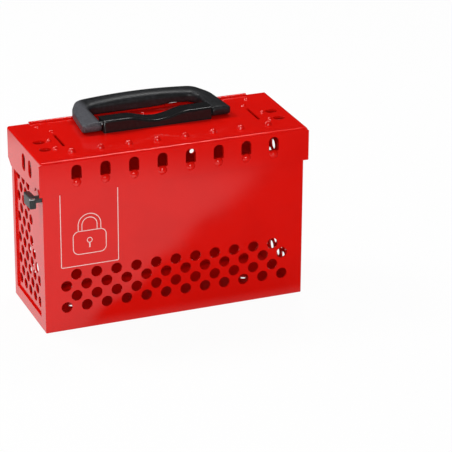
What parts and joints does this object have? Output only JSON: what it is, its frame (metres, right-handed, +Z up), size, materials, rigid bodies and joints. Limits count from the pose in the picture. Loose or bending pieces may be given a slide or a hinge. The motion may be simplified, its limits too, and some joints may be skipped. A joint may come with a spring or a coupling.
{
  "type": "group lockout box",
  "caption": "Folded sheet-metal lockout box with a hinged, slotted lid for padlocks, perforated walls, a folding carrying handle and a turn latch.",
  "frame": {"origin": "middle of the box's underside", "axes": "+X along the front to the right, +Y from front to rear, +Z up"},
  "size_m": [0.2386, 0.1044, 0.1639],
  "materials": {
    "box_paint": "semi-gloss powder coat",
    "end_panel_paint": "semi-gloss powder coat",
    "lid_paint": "semi-gloss powder coat",
    "hinge_paint": "semi-gloss powder coat",
    "rivet_paint": "semi-gloss powder coat",
    "inner_paint": "semi-gloss powder coat",
    "inner_steel": "zinc plated",
    "pin_steel": "ground",
    "screw_steel": "zinc plated",
    "grip_plastic": "fine grained",
    "base_plastic": "satin",
    "lever_plastic": "satin"
  },
  "bodies": {
    "box": {"body_shell": "box_paint", "end_panel_left": "end_panel_paint", "end_panel_right": "end_panel_paint", "body_hinge_leaf": "hinge_paint", "body_hinge_rivets": "rivet_paint", "hinge_pin": "pin_steel", "latch_washer": "inner_steel"},
    "lid": {"lid_shell": "lid_paint", "lid_bar": "inner_paint", "end_plate_left": "inner_paint", "end_plate_right": "inner_paint", "key_guard_left": "inner_paint", "key_guard_right": "inner_paint", "bar_rivets": "rivet_paint", "end_plate_rivets": "rivet_paint", "front_buttons": "rivet_paint", "key_guard_rivets": "rivet_paint", "lid_hinge_rivets": "rivet_paint", "lid_hinge_leaf": "hinge_paint", "handle_base": "base_plastic", "handle_screws": "screw_steel", "handle_washers": "screw_steel", "handle_pins": "pin_steel", "latch_keeper": "inner_steel", "keeper_pin": "pin_steel"},
    "handle": {"handle_grip": "grip_plastic"},
    "latch": {"latch_lever": "lever_plastic", "latch_cross_pin": "pin_steel", "latch_hook": "inner_steel", "latch_screw": "screw_steel"}
  },
  "joints": [
    {"name": "lid_hinge", "type": "hinge", "parent": "box", "child": "lid", "pos_m": [0, 0.0445, 0.1491], "axis": [-1, 0, 0], "range_deg": [0, 100]},
    {"name": "handle_fold", "type": "hinge", "parent": "lid", "child": "handle", "pos_m": [0, 0.0037, 0.157], "axis": [1, 0, 0], "range_deg": [0, 90]},
    {"name": "latch_turn", "type": "hinge", "parent": "box", "child": "latch", "pos_m": [-0.115, -0.0378, 0.1173], "axis": [1, 0, 0], "range_deg": [0, 90]}
  ]
}
